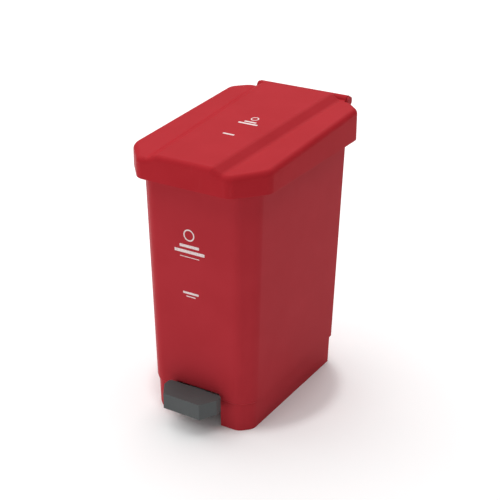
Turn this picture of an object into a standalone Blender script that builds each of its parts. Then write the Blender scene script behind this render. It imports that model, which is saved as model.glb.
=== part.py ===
"""Pedal bin for laboratory waste: casing, lid, inner bucket and pedal mechanism.

Metres, +Z up. The pedal is on the -Y side and the lid hinge on the +Y side.
The origin is on the floor, in the middle of the bin's outline.
"""

import math

import bmesh
import bpy
from mathutils import Matrix, Vector

# ---------------------------------------------------------------- casing
CASING_HEIGHT = 0.396
CASING_TOP_WIDTH = 0.1960
CASING_BASE_WIDTH = 0.1746
CASING_TOP_CUT = 0.0250
CASING_BASE_CUT = 0.0184
CASING_FRONT_RADIUS = 0.0080
CASING_REAR_RADIUS = 0.0055
SHARPEST_RADIUS = 0.0010
CASING_WALL = 0.0027
FRONT_DRAFT = 0.0070
REAR_DRAFT = 0.0110
PLINTH_HEIGHT = 0.048
PLINTH_STEP = 0.0027
FLOOR_HEIGHT = 0.060
FLOOR_THICKNESS = 0.0030
RIM_THICKNESS = 0.0040
RIM_FLANGE = 0.0010

# ------------------------------------------------------------------- lid
LID_WIDTH = 0.2288
LID_LENGTH = 0.3243
LID_WALL = 0.0030
LID_FRONT_CUT = (0.0390, 0.0450)
LID_REAR_CUT = (0.0260, 0.0220)
LID_CORNER_RADIUS = 0.012
LID_OVERLAP = 0.0103
FRONT_OVERHANG = 0.0227
REAR_OVERHANG = 0.0244
FRONT_SKIRT = 0.0308
REAR_SKIRT = 0.0503
RIDGE_FRONT_TOP_WIDTH = 0.0916
RIDGE_FRONT_FOOT_WIDTH = 0.1232
RIDGE_FRONT_RISE = 0.0075
RIDGE_REAR_TOP_WIDTH = 0.1178
RIDGE_REAR_FOOT_WIDTH = 0.1484
RIDGE_REAR_RISE = 0.0090
STOP_RIB_THICKNESS = 0.0030
STOP_RIB_REACH = 0.0008

# ----------------------------------------------------------------- hinge
HINGE_SETBACK = 0.0140
HINGE_DROP = 0.0060
BARREL_RADIUS = 0.0085
BARREL_LENGTH = 0.1620
HINGE_PIN_RADIUS = 0.0025
KNUCKLE_WEB_DEPTH = 0.0068
HINGE_CAP_THICKNESS = 0.0030
HINGE_CAP_FACE = 0.0010
HINGE_CAP_RADIUS = 0.0075
MIDDLE_KNUCKLE_WIDTH = 0.0588
BRACKET_WIDTH = 0.0252
BRACKET_PLATE = 0.0040
BRACKET_ARM = 0.0090
BRACKET_DEPTH_BELOW_RIM = 0.0620
BRACKET_TOP_BELOW_SKIRT = 0.0057

# -------------------------------------------------------------- push rod
ROD_RADIUS = 0.0020
ROD_BEND_RADIUS = 0.0050
ROD_SETBACK = 0.0280
ROD_SIDE_OFFSET = 0.0085
HOOK_OVERRUN = 0.0055
CLIP_SETBACK = 0.0014
LUG_DROP = 0.0180
LUG_THICKNESS = 0.0060
LUG_EDGE = 0.0050
LUG_ROOF_DEPTH = 0.0025
LUG_SLOT_RUN = 0.0062
LUG_SLOT_RADIUS = 0.0034
GUIDE_HEIGHTS = {"lower": 0.120, "upper": CASING_HEIGHT - 0.086}
GUIDE_THICKNESS = 0.0100
GUIDE_EDGE = 0.0040
CLIP_THICKNESS = 0.0012
CLIP_RADIUS = 0.0045

# ------------------------------------------------------------- rod cover
COVER_WIDTH = 0.0370
COVER_WALL = 0.0020
COVER_BACK_GAP = 0.0015
COVER_BASE = 0.0040
COVER_TOP = CASING_HEIGHT - 0.0300
COVER_FLANGE_WIDTH = 0.0570
COVER_FLANGE_BASE = 0.0560

# ----------------------------------------------------------------- pedal
PAD_WIDTH = 0.0930
PAD_DEPTH = 0.0390
PAD_CORNER_CUT = (0.0150, 0.0240)
PAD_REAR_CUT = (0.0035, 0.0035)
PAD_UNDERSIDE = 0.0340
PAD_TOP = 0.0590
PAD_WALL = 0.0030
PAD_SCREW_BITE = 0.0021
TONGUE_ROOF_GAP = 0.0010
PAD_GAP = 0.0060
NOTCH_WIDTH = 0.0756
NOTCH_OVER_ARM = 0.0008
ARM_WIDTH = 0.0260
ARM_THICKNESS = 0.0080
ARM_REAR_REACH = 0.1805
TONGUE_LENGTH = 0.0260
EYE_HEIGHT = 0.0120
EYE_LEAD = 0.0009
EYE_RADIUS = 0.0065
EYE_WIDTH = 0.0080
EYE_HOLE_RADIUS = 0.0032
EYE_NECK = 0.0180
EYE_NECK_SHARE = 0.8
HUB_RADIUS = 0.0075
HUB_WIDTH = 0.0360
AXLE_RADIUS = 0.0030
BLOCK_WIDTH = 0.0120
BLOCK_DEPTH = 0.0160
BLOCK_FOOT_DEPTH = 0.0400
BLOCK_FOOT_THICKNESS = 0.0040
BLOCK_FOOT_TAPER = 0.0006
BLOCK_SCREW_BITE = 0.0021
REAR_NOTCH_SIDE_GAP = 0.0025

# ---------------------------------------------------------- inner bucket
BUCKET_SIDE_GAP = 0.0025
BUCKET_WALL = 0.0020
BUCKET_FLOOR_GAP = 0.0045
BUCKET_RIM_THICKNESS = 0.0022
BUCKET_RIM_INSET = 0.0010
BAIL_RADIUS = 0.0022
BAIL_REAR_INSET = 0.0206
BAIL_BEND_RADIUS = 0.0300
BAIL_END_RADIUS = 0.0025
BAIL_EDGE = 0.0005
BAIL_LEG_OUTSET = 0.0009
GRIP_LENGTH = 0.0800
GRIP_RADIUS = 0.0060
EAR_THICKNESS = 0.0022
EAR_RADIUS = 0.0055

# ---------------------------------------------------------------- screws
SCREW_SHANK_RADIUS = 0.0018
SCREW_HEAD_RADIUS = 0.0038
SCREW_HEAD_HEIGHT = 0.0024
SCREW_EDGE = 0.0004
SCREW_CROWN_SHARE = 0.62
SCREW_SHOULDER_SHARE = 0.60
SCREW_RIM_SHARE = 0.25

# ------------------------------------------------------------ clearances
TOUCH_GAP = 0.0003
PIN_CLEARANCE = 0.0003
KNUCKLE_GAP = 0.0006
OVERCUT = 0.0100

# -------------------------------------------------- resolution of curves
CORNER_STEPS = 4
ROUND_STEPS = 24
SMALL_ROUND_STEPS = 16
BEND_STEPS = 6
WIRE_RESOLUTION = 3
FILL_SCALE = 1000.0
MERGE_DISTANCE = 0.00001
SMOOTH_ANGLE = math.radians(35.0)

# ------------------------------------------------------- derived heights
FLOOR_UNDERSIDE = FLOOR_HEIGHT - FLOOR_THICKNESS
SKIRT_BASE = CASING_HEIGHT - LID_OVERLAP
SHOULDER_FRONT = SKIRT_BASE + FRONT_SKIRT
SHOULDER_REAR = SKIRT_BASE + REAR_SKIRT
RIDGE_REAR = SHOULDER_REAR + RIDGE_REAR_RISE
HINGE_Z = SHOULDER_REAR - HINGE_DROP

# ------------------------------------- derived places along the bin (Y)
PAD_FRONT_FROM_CASING = -FRONT_DRAFT * PAD_TOP / CASING_HEIGHT - PAD_GAP - PAD_DEPTH
FRONT_REACH = PAD_FRONT_FROM_CASING + FRONT_OVERHANG + FRONT_DRAFT
REAR_REACH = LID_LENGTH + HINGE_SETBACK + BARREL_RADIUS
LID_FRONT = -(FRONT_REACH + REAR_REACH) / 2
LID_REAR = LID_FRONT + LID_LENGTH
HINGE_Y = LID_REAR + HINGE_SETBACK
ROD_Y = HINGE_Y - ROD_SETBACK
CASING_TOP_FRONT = LID_FRONT + FRONT_OVERHANG
CASING_TOP_REAR = LID_REAR - REAR_OVERHANG
CASING_BASE_FRONT = CASING_TOP_FRONT + FRONT_DRAFT
CASING_BASE_REAR = CASING_TOP_REAR - REAR_DRAFT
PAD_FRONT = CASING_BASE_FRONT + PAD_FRONT_FROM_CASING
PAD_BACK = PAD_FRONT + PAD_DEPTH

# ------------------------------------------------ derived lever geometry
TONGUE_TOP = PAD_TOP - PAD_WALL - TOUCH_GAP
TONGUE_FRONT = PAD_BACK - TONGUE_LENGTH
ELBOW = Vector((0.0, PAD_BACK, TONGUE_TOP - ARM_THICKNESS / 2))
EYE = Vector((0.0, ROD_Y - EYE_LEAD, EYE_HEIGHT))
PIVOT_Y = ROD_Y - ARM_REAR_REACH
PIVOT = ELBOW.lerp(EYE, (PIVOT_Y - ELBOW.y) / (EYE.y - ELBOW.y))
LUG = Vector((0.0, ROD_Y, HINGE_Z - LUG_DROP))
HINGE = Vector((0.0, HINGE_Y, HINGE_Z))
ROD_NOTCH_FRONT = LID_REAR - LID_WALL - 2 * TOUCH_GAP
ROD_NOTCH_TOP = LUG.z + ROD_RADIUS

# --------------------------------------------------------------- colours
RED_PLASTIC = ("red_plastic", (0.48, 0.018, 0.026), 0.42, 0.0)
GREY_PLASTIC = ("grey_plastic", (0.075, 0.077, 0.077), 0.55, 0.0)
BLACK_PLASTIC = ("black_plastic", (0.020, 0.020, 0.021), 0.50, 0.0)
STEEL = ("zinc_plated_steel", (0.62, 0.63, 0.65), 0.32, 1.0)


# ------------------------------------------------------- scene and looks
def clear_scene():
    for old in list(bpy.data.objects):
        bpy.data.objects.remove(old, do_unlink=True)


def new_collection(name):
    made = bpy.data.collections.new(name)
    bpy.context.scene.collection.children.link(made)
    return made


def material(look):
    name, colour, roughness, metallic = look
    found = bpy.data.materials.get(name)
    if found:
        return found
    made = bpy.data.materials.new(name)
    made.use_nodes = True
    shader = made.node_tree.nodes["Principled BSDF"]
    shader.inputs["Base Color"].default_value = (*colour, 1.0)
    shader.inputs["Roughness"].default_value = roughness
    shader.inputs["Metallic"].default_value = metallic
    made.diffuse_color = (*colour, 1.0)
    return made


clear_scene()
BIN = new_collection("pedal_bin")
CUTTERS = new_collection("cutters")


def finish(piece, look, parent=None):
    """File a piece under the bin, give it its material and its moving parent."""
    BIN.objects.link(piece)
    piece.data.materials.append(material(look))
    if piece.type == "MESH":
        piece.data.shade_smooth()
        piece.data.set_sharp_from_angle(angle=SMOOTH_ANGLE)
    if parent:
        piece.parent = parent
        piece.location -= parent.location
    return piece


def axis_empty(name, place):
    empty = bpy.data.objects.new(name, None)
    empty.empty_display_size = 0.02
    empty.location = place
    BIN.objects.link(empty)
    return empty


# ------------------------------------------------------- outline helpers
def rounded(points, radius, closed=True, steps=CORNER_STEPS):
    """The points with an arc at each corner: one radius, or a list with one for each."""
    count = len(points)
    radii = radius if isinstance(radius, list) else [radius] * count
    made = []
    for index, corner in enumerate(points):
        if not closed and index in (0, count - 1):
            made.append(corner.copy())
            continue
        back = (points[index - 1] - corner).normalized()
        ahead = (points[(index + 1) % count] - corner).normalized()
        half_angle = back.angle(ahead) / 2
        along = radii[index] / math.tan(half_angle)
        middle = (back + ahead).normalized()
        centre = corner + middle * radii[index] / math.sin(half_angle)
        start = (corner + back * along - centre).normalized()
        end = (corner + ahead * along - centre).normalized()
        turns = [start.slerp(end, step / steps) for step in range(steps + 1)]
        made += [centre + direction * radii[index] for direction in turns]
    return made


def grown(corners, distance):
    """A convex outline whose edges have moved outwards by a distance."""
    count = len(corners)
    lines = []
    for index, corner in enumerate(corners):
        along = (corners[(index + 1) % count] - corner).normalized()
        outward = Vector((along.y, -along.x))
        lines.append((corner + outward * distance, along))
    made = []
    for index in range(count):
        point_a, along_a = lines[index - 1]
        point_b, along_b = lines[index]
        across = along_a.x * along_b.y - along_a.y * along_b.x
        between = point_b - point_a
        run = (between.x * along_b.y - between.y * along_b.x) / across
        made.append(point_a + along_a * run)
    return made


def cut_rectangle(width, front, rear, front_cut, rear_cut):
    """A rectangle with its corners cut off, counter-clockwise from above."""
    half = width / 2
    right = [
        Vector((half - front_cut[0], front)),
        Vector((half, front + front_cut[1])),
        Vector((half, rear - rear_cut[1])),
        Vector((half - rear_cut[0], rear)),
    ]
    return right + [Vector((-point.x, point.y)) for point in reversed(right)]


def arc(centre, radius, start, end, steps=ROUND_STEPS):
    """(y, z) points on a circle in side view, from one angle in degrees to another."""
    angles = [math.radians(start + (end - start) * step / steps) for step in range(steps + 1)]
    return [
        (centre.y + radius * math.cos(angle), centre.z + radius * math.sin(angle))
        for angle in angles
    ]


def level_ring(corners, radius, height):
    return [Vector((*point, height)) for point in rounded(corners, radius)]


# ---------------------------------------------------------- solid makers
def new_object(name, bm):
    mesh = bpy.data.meshes.new(name)
    bm.to_mesh(mesh)
    bm.free()
    return bpy.data.objects.new(name, mesh)


def loft(name, rings):
    """A closed body through rings of equal length, with a cap on each end."""
    bm = bmesh.new()
    levels = [[bm.verts.new(point) for point in ring] for ring in rings]
    for low, high in zip(levels, levels[1:]):
        for index in range(len(low)):
            after = (index + 1) % len(low)
            bm.faces.new((low[index], low[after], high[after], high[index]))
    bm.faces.new(reversed(levels[0]))
    bm.faces.new(levels[-1])
    bmesh.ops.recalc_face_normals(bm, faces=bm.faces)
    return new_object(name, bm)


def box(name, low, high):
    bm = bmesh.new()
    bmesh.ops.create_cube(bm, size=1.0)
    low, high = Vector(low), Vector(high)
    size = Matrix.Diagonal((*(high - low), 1.0))
    bm.transform(Matrix.Translation((low + high) / 2) @ size)
    return new_object(name, bm)


def cylinder(name, start, end, radius, steps=ROUND_STEPS):
    start, end = Vector(start), Vector(end)
    along = end - start
    turn = along.to_track_quat("Z", "Y").to_matrix().to_4x4()
    bm = bmesh.new()
    bmesh.ops.create_cone(
        bm, cap_ends=True, segments=steps, radius1=radius, radius2=radius, depth=along.length,
    )
    bm.transform(Matrix.Translation((start + end) / 2) @ turn)
    return new_object(name, bm)


def side_plate(name, outline, low_x, high_x):
    """A side-view outline of (y, z) points, thickened from low_x to high_x.

    The curve is filled at FILL_SCALE times its size, where small arcs fill cleanly.
    """
    curve = bpy.data.curves.new(name, "CURVE")
    curve.dimensions = "2D"
    curve.fill_mode = "BOTH"
    curve.extrude = FILL_SCALE * (high_x - low_x) / 2
    spline = curve.splines.new("POLY")
    spline.points.add(len(outline) - 1)
    for point, (y, z) in zip(spline.points, outline):
        point.co = (FILL_SCALE * y, FILL_SCALE * z, 0.0, 1.0)
    spline.use_cyclic_u = True
    flat = bpy.data.objects.new(name, curve)
    bpy.context.scene.collection.objects.link(flat)
    graph = bpy.context.evaluated_depsgraph_get()
    mesh = bpy.data.meshes.new_from_object(flat.evaluated_get(graph))
    bpy.data.objects.remove(flat)
    bpy.data.curves.remove(curve)
    stand_up = Matrix(((0, 0, 1, 0), (1, 0, 0, 0), (0, 1, 0, 0), (0, 0, 0, 1)))
    shrink = Matrix.Scale(1 / FILL_SCALE, 4)
    middle = Matrix.Translation(((low_x + high_x) / 2, 0.0, 0.0))
    bm = bmesh.new()
    bm.from_mesh(mesh)
    bmesh.ops.remove_doubles(bm, verts=bm.verts, dist=MERGE_DISTANCE * FILL_SCALE)
    bm.transform(middle @ stand_up @ shrink)
    bmesh.ops.recalc_face_normals(bm, faces=bm.faces)
    bpy.data.meshes.remove(mesh)
    return new_object(name, bm)


def wire(name, points, radius, bend_radius):
    """Round wire bent through the points."""
    curve = bpy.data.curves.new(name, "CURVE")
    curve.dimensions = "3D"
    curve.bevel_depth = radius
    curve.bevel_resolution = WIRE_RESOLUTION
    curve.use_fill_caps = True
    path = rounded(points, bend_radius, closed=False, steps=BEND_STEPS)
    spline = curve.splines.new("POLY")
    spline.points.add(len(path) - 1)
    for point, place in zip(spline.points, path):
        point.co = (*place, 1.0)
    return bpy.data.objects.new(name, curve)


def turned(name, profile, place, direction, steps=ROUND_STEPS):
    """A turned piece: its (radius, height) profile runs from the tip of the axis down."""
    mesh = bpy.data.meshes.new(name)
    verts = [(radius, 0.0, height) for radius, height in profile]
    edges = [(index, index + 1) for index in range(len(profile) - 1)]
    mesh.from_pydata(verts, edges, [])
    piece = bpy.data.objects.new(name, mesh)
    spin = piece.modifiers.new("turn", "SCREW")
    spin.steps = steps
    spin.render_steps = steps
    spin.use_merge_vertices = True
    spin.merge_threshold = MERGE_DISTANCE
    piece.rotation_mode = "QUATERNION"
    piece.rotation_quaternion = Vector(direction).to_track_quat("Z", "Y")
    piece.location = place
    return piece


def file_cutter(tool):
    if not tool.users_collection:
        CUTTERS.objects.link(tool)
        tool.hide_render = True
        tool.display_type = "WIRE"


def combine(piece, tool, operation):
    file_cutter(tool)
    step = piece.modifiers.new(tool.name, "BOOLEAN")
    step.operation = operation
    step.solver = "EXACT"
    step.object = tool
    return piece


def cut(piece, tool):
    return combine(piece, tool, "DIFFERENCE")


def join(piece, tool):
    return combine(piece, tool, "UNION")


def keep_inside(piece, tool):
    return combine(piece, tool, "INTERSECT")


def screw(name, seat, direction, grip, parent=None):
    """A pan-head screw whose head rests on the seat; the shank runs the other way."""
    profile = [
        (0.0, SCREW_HEAD_HEIGHT),
        (SCREW_HEAD_RADIUS * SCREW_CROWN_SHARE, SCREW_HEAD_HEIGHT),
        (SCREW_HEAD_RADIUS - SCREW_EDGE, SCREW_HEAD_HEIGHT * SCREW_SHOULDER_SHARE),
        (SCREW_HEAD_RADIUS, SCREW_HEAD_HEIGHT * SCREW_RIM_SHARE),
        (SCREW_HEAD_RADIUS, 0.0),
        (SCREW_SHANK_RADIUS, 0.0),
        (SCREW_SHANK_RADIUS, SCREW_EDGE - grip),
        (SCREW_SHANK_RADIUS - SCREW_EDGE, -grip),
        (0.0, -grip),
    ]
    piece = turned(name, profile, seat, direction, steps=SMALL_ROUND_STEPS)
    return finish(piece, STEEL, parent)


def screw_hole(name, seat, direction, grip):
    """A cutter for the clearance hole of a screw."""
    along = Vector(direction).normalized()
    radius = SCREW_SHANK_RADIUS + PIN_CLEARANCE
    start = Vector(seat) - along * (grip + TOUCH_GAP)
    end = Vector(seat) + along * SCREW_HEAD_HEIGHT
    return cylinder(name, start, end, radius, steps=SMALL_ROUND_STEPS)


# ---------------------------------------------------------------- casing
def casing_corners(height, offset=0.0):
    share = height / CASING_HEIGHT
    width = CASING_BASE_WIDTH + (CASING_TOP_WIDTH - CASING_BASE_WIDTH) * share
    corner = CASING_BASE_CUT + (CASING_TOP_CUT - CASING_BASE_CUT) * share
    front = CASING_BASE_FRONT - FRONT_DRAFT * share
    half = width / 2
    right = [
        Vector((half - corner, front)),
        Vector((half, front + corner)),
        Vector((half, rear_wall(height))),
    ]
    return grown(right + [Vector((-point.x, point.y)) for point in reversed(right)], offset)


def rear_wall(height):
    """Outside of the casing's rear wall above the plinth."""
    return CASING_BASE_REAR + REAR_DRAFT * height / CASING_HEIGHT


def casing_radii(offset):
    """A radius for each corner of the outline: the front cuts, then the rear corners."""
    front = CASING_FRONT_RADIUS + offset
    rear = max(CASING_REAR_RADIUS + offset, SHARPEST_RADIUS)
    return [front, front, rear, rear, front, front]


def casing_ring(height, offset=0.0):
    return level_ring(casing_corners(height, offset), casing_radii(offset), height)


def make_casing():
    inner_plinth = -PLINTH_STEP - CASING_WALL
    casing = loft("casing", [
        casing_ring(FLOOR_UNDERSIDE, inner_plinth),
        casing_ring(0.0, inner_plinth),
        casing_ring(0.0, -PLINTH_STEP),
        casing_ring(PLINTH_HEIGHT - PLINTH_STEP, -PLINTH_STEP),
        casing_ring(PLINTH_HEIGHT),
        casing_ring(CASING_HEIGHT - RIM_THICKNESS),
        casing_ring(CASING_HEIGHT - RIM_THICKNESS, RIM_FLANGE),
        casing_ring(CASING_HEIGHT, RIM_FLANGE),
        casing_ring(CASING_HEIGHT, -CASING_WALL),
        casing_ring(FLOOR_HEIGHT, -CASING_WALL),
    ])
    half_notch = NOTCH_WIDTH / 2
    front = CASING_BASE_FRONT
    cut(casing, box(
        "pedal_notch",
        (-half_notch, front - OVERCUT, -OVERCUT),
        (half_notch, front + PLINTH_STEP + CASING_WALL + OVERCUT, TONGUE_TOP + NOTCH_OVER_ARM),
    ))
    rear = CASING_BASE_REAR
    half_slot = ARM_WIDTH / 2 + REAR_NOTCH_SIDE_GAP
    cut(casing, box(
        "lever_notch",
        (-half_slot, rear - PLINTH_STEP - CASING_WALL - OVERCUT, -OVERCUT),
        (half_slot, rear + OVERCUT, FLOOR_UNDERSIDE),
    ))
    return finish(casing, RED_PLASTIC)


# ------------------------------------------------------------------- lid
def roof_section(y, inset):
    """Cross-section of the space under the roof: shoulders and raised middle."""
    share = (y - LID_FRONT) / LID_LENGTH
    shoulder = SHOULDER_FRONT + (SHOULDER_REAR - SHOULDER_FRONT) * share - inset
    rise = RIDGE_FRONT_RISE + (RIDGE_REAR_RISE - RIDGE_FRONT_RISE) * share
    top = RIDGE_FRONT_TOP_WIDTH + (RIDGE_REAR_TOP_WIDTH - RIDGE_FRONT_TOP_WIDTH) * share
    foot = RIDGE_FRONT_FOOT_WIDTH + (RIDGE_REAR_FOOT_WIDTH - RIDGE_FRONT_FOOT_WIDTH) * share
    side = LID_WIDTH / 2 + OVERCUT
    low = SKIRT_BASE - 2 * OVERCUT
    right = [
        (side, low),
        (side, shoulder),
        (foot / 2 - inset / 2, shoulder),
        (top / 2 - inset / 2, shoulder + rise),
    ]
    ring = right + [(-x, z) for x, z in reversed(right)]
    return [Vector((x, y, z)) for x, z in ring]


def lid_solid(name, inset):
    """The lid's outside for an inset of 0, or the hollow inside its wall."""
    corners = cut_rectangle(LID_WIDTH, LID_FRONT, LID_REAR, LID_FRONT_CUT, LID_REAR_CUT)
    corners = grown(corners, -inset)
    base = SKIRT_BASE - (OVERCUT if inset else 0.0)
    radius = LID_CORNER_RADIUS - inset
    solid = loft(name, [
        level_ring(corners, radius, base),
        level_ring(corners, radius, RIDGE_REAR + OVERCUT),
    ])
    ends = (LID_FRONT - OVERCUT, LID_REAR + OVERCUT)
    roof = loft(name + "_roof", [roof_section(y, inset) for y in ends])
    return keep_inside(solid, roof)


def knuckle_spans():
    """(low x, high x) of the lid's three knuckles on the hinge barrel."""
    middle = MIDDLE_KNUCKLE_WIDTH / 2
    inner = middle + BRACKET_WIDTH + 2 * KNUCKLE_GAP
    outer = BARREL_LENGTH / 2 - HINGE_CAP_THICKNESS - TOUCH_GAP
    return [(-outer, -inner), (-middle, middle), (inner, outer)]


def add_lid_knuckles(lid):
    root = LID_REAR - LID_WALL / 2
    web_under = -KNUCKLE_WEB_DEPTH
    web_top = HINGE_DROP / 2
    first = 180.0 + math.degrees(math.asin(-web_under / BARREL_RADIUS))
    last = 540.0 - math.degrees(math.asin(web_top / BARREL_RADIUS))
    outline = [(root, HINGE_Z + web_under)]
    outline += arc(HINGE, BARREL_RADIUS, first, last)
    outline += [(root, HINGE_Z + web_top)]
    for index, (low, high) in enumerate(knuckle_spans()):
        join(lid, side_plate(f"lid_knuckle_{index}", outline, low, high))


def add_rod_lug(lid):
    """The slotted lug that the push rod hooks into, hanging from the roof."""
    towards_hinge = (HINGE - LUG).normalized()
    half = LUG_THICKNESS / 2
    front = LUG.y - LUG_SLOT_RADIUS - LUG_EDGE
    low = LUG.z - LUG_SLOT_RADIUS - LUG_EDGE
    roof = RIDGE_REAR - LUG_ROOF_DEPTH
    rear = LID_REAR - LID_WALL / 2
    over_notch = ROD_NOTCH_TOP + TOUCH_GAP
    plate = side_plate("rod_lug", [
        (front, low), (LUG.y + LUG_SLOT_RADIUS, low),
        (ROD_NOTCH_FRONT - TOUCH_GAP, over_notch), (rear, over_notch), (rear, roof), (front, roof),
    ], -half, half)
    join(lid, plate)
    slot_end = LUG + towards_hinge * LUG_SLOT_RUN
    lean = math.degrees(math.atan2(towards_hinge.z, towards_hinge.y))
    outline = arc(LUG, LUG_SLOT_RADIUS, lean + 90.0, lean + 270.0, ROUND_STEPS // 2)
    outline += arc(slot_end, LUG_SLOT_RADIUS, lean - 90.0, lean + 90.0, ROUND_STEPS // 2)
    cut(lid, side_plate("lug_slot", outline, -half - LUG_EDGE, half + LUG_EDGE))


def add_stop_ribs(lid):
    """Ribs inside the skirt that rest on the casing's rim when the lid is shut."""
    rest = CASING_HEIGHT + TOUCH_GAP
    half = STOP_RIB_THICKNESS / 2
    wall = LID_WALL / 2
    top = SHOULDER_FRONT - wall
    side_in = CASING_TOP_WIDTH / 2 + STOP_RIB_REACH
    side_out = LID_WIDTH / 2 - wall
    mid_y = (CASING_TOP_FRONT + CASING_TOP_REAR) / 2
    quarter = (CASING_TOP_REAR - CASING_TOP_FRONT) / 4
    for side in (-1, 1):
        for row, y in enumerate((mid_y - quarter, mid_y + quarter)):
            xs = sorted((side * side_in, side * side_out))
            rib = box(
                f"stop_rib_{side}_{row}",
                (xs[0], y - half, rest), (xs[1], y + half, top),
            )
            join(lid, rib)
        x = side * RIDGE_FRONT_TOP_WIDTH / 2
        front_rib = box(
            f"front_rib_{side}",
            (x - half, LID_FRONT + wall, rest),
            (x + half, CASING_TOP_FRONT - STOP_RIB_REACH, top),
        )
        join(lid, front_rib)


def make_lid(hinge_line):
    lid = lid_solid("lid", 0.0)
    cut(lid, lid_solid("lid_hollow", LID_WALL))
    notch_half = ROD_SIDE_OFFSET + ROD_RADIUS + 2 * PIN_CLEARANCE + ROD_RADIUS
    cut(lid, box(
        "rod_notch",
        (-notch_half, ROD_NOTCH_FRONT, SKIRT_BASE - OVERCUT),
        (notch_half, LID_REAR + ROD_RADIUS, ROD_NOTCH_TOP),
    ))
    add_lid_knuckles(lid)
    add_rod_lug(lid)
    add_stop_ribs(lid)
    bore = HINGE_PIN_RADIUS + PIN_CLEARANCE
    half = BARREL_LENGTH / 2
    cut(lid, cylinder("lid_pin_bore", (-half, HINGE_Y, HINGE_Z), (half, HINGE_Y, HINGE_Z), bore))
    return finish(lid, RED_PLASTIC, hinge_line)


# ----------------------------------------------------------------- hinge
def bracket_outline():
    """Side view of a bracket: wall plate, arm under the skirt, riser to the pin."""
    low = CASING_HEIGHT - BRACKET_DEPTH_BELOW_RIM
    high = SKIRT_BASE - BRACKET_TOP_BELOW_SKIRT
    arm_under = high - BRACKET_ARM
    back = HINGE_Y + BRACKET_ARM / 2
    front = HINGE_Y - BRACKET_ARM / 2
    plate = TOUCH_GAP + BRACKET_PLATE
    lean = math.degrees(math.acos(BRACKET_ARM / 2 / BARREL_RADIUS))
    outline = [
        (rear_wall(low) + TOUCH_GAP, low),
        (rear_wall(low) + plate, low),
        (rear_wall(arm_under) + plate, arm_under),
        (back, arm_under),
    ]
    outline += arc(HINGE, BARREL_RADIUS, -lean, 180.0 + lean)
    outline += [(front, high), (rear_wall(high) + TOUCH_GAP, high)]
    return outline


def make_hinge(casing):
    inner = MIDDLE_KNUCKLE_WIDTH / 2 + KNUCKLE_GAP
    bore = HINGE_PIN_RADIUS + PIN_CLEARANCE
    half = BARREL_LENGTH / 2
    number = 0
    for side, hand in ((-1, "left"), (1, "right")):
        low, high = sorted((side * inner, side * (inner + BRACKET_WIDTH)))
        bracket = side_plate(f"hinge_bracket_{hand}", bracket_outline(), low, high)
        cut(bracket, cylinder(
            f"bracket_bore_{hand}", (-half, HINGE_Y, HINGE_Z), (half, HINGE_Y, HINGE_Z), bore,
        ))
        grip = BRACKET_PLATE + 2 * TOUCH_GAP + CASING_WALL
        base = CASING_HEIGHT - BRACKET_DEPTH_BELOW_RIM
        for row in (1, 3):
            number += 1
            height = base + row * (SCREW_HEAD_RADIUS + 2 * SCREW_EDGE)
            outward = Vector((0.0, CASING_HEIGHT, -REAR_DRAFT)).normalized()
            seat = Vector(((low + high) / 2, rear_wall(height), height))
            seat += outward * (2 * TOUCH_GAP + BRACKET_PLATE)
            hole = screw_hole(f"bracket_hole_{number}", seat, outward, grip)
            cut(bracket, hole)
            cut(casing, hole)
            screw(f"bracket_screw_{number}", seat, outward, grip)
        finish(bracket, RED_PLASTIC)
        cap_face = side * (half - HINGE_CAP_THICKNESS)
        cap = cylinder(
            f"hinge_cap_{hand}", (cap_face, HINGE_Y, HINGE_Z), (side * half, HINGE_Y, HINGE_Z),
            HINGE_CAP_RADIUS,
        )
        cap_floor = side * (half - HINGE_CAP_FACE)
        cut(cap, cylinder(
            f"cap_bore_{hand}", (0.0, HINGE_Y, HINGE_Z), (cap_floor, HINGE_Y, HINGE_Z), bore,
        ))
        finish(cap, RED_PLASTIC)
    pin_end = half - HINGE_CAP_FACE - TOUCH_GAP
    pin = cylinder(
        "hinge_pin", (-pin_end, HINGE_Y, HINGE_Z), (pin_end, HINGE_Y, HINGE_Z), HINGE_PIN_RADIUS,
    )
    finish(pin, STEEL)


# -------------------------------------------------------------- push rod
def make_push_rod(rod_line):
    side = -ROD_SIDE_OFFSET
    top_reach = LUG_THICKNESS / 2 + HOOK_OVERRUN
    low_reach = EYE_WIDTH / 2 + HOOK_OVERRUN
    rod = wire("push_rod", [
        Vector((low_reach, ROD_Y, EYE_HEIGHT)),
        Vector((side, ROD_Y, EYE_HEIGHT)),
        Vector((side, ROD_Y, LUG.z)),
        Vector((top_reach, ROD_Y, LUG.z)),
    ], ROD_RADIUS, ROD_BEND_RADIUS)
    finish(rod, STEEL, rod_line)
    hole = ROD_RADIUS + PIN_CLEARANCE
    for name, reach, height in (("upper", top_reach, LUG.z), ("lower", low_reach, EYE_HEIGHT)):
        outer = reach - CLIP_SETBACK
        place = (outer - CLIP_THICKNESS, ROD_Y, height)
        clip = cylinder(
            f"rod_clip_{name}", place, (outer, ROD_Y, height), CLIP_RADIUS,
            steps=SMALL_ROUND_STEPS,
        )
        cut(clip, cylinder(
            f"clip_hole_{name}", (0.0, ROD_Y, height), (reach, ROD_Y, height), hole,
            steps=SMALL_ROUND_STEPS,
        ))
        finish(clip, STEEL, rod_line)


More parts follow.
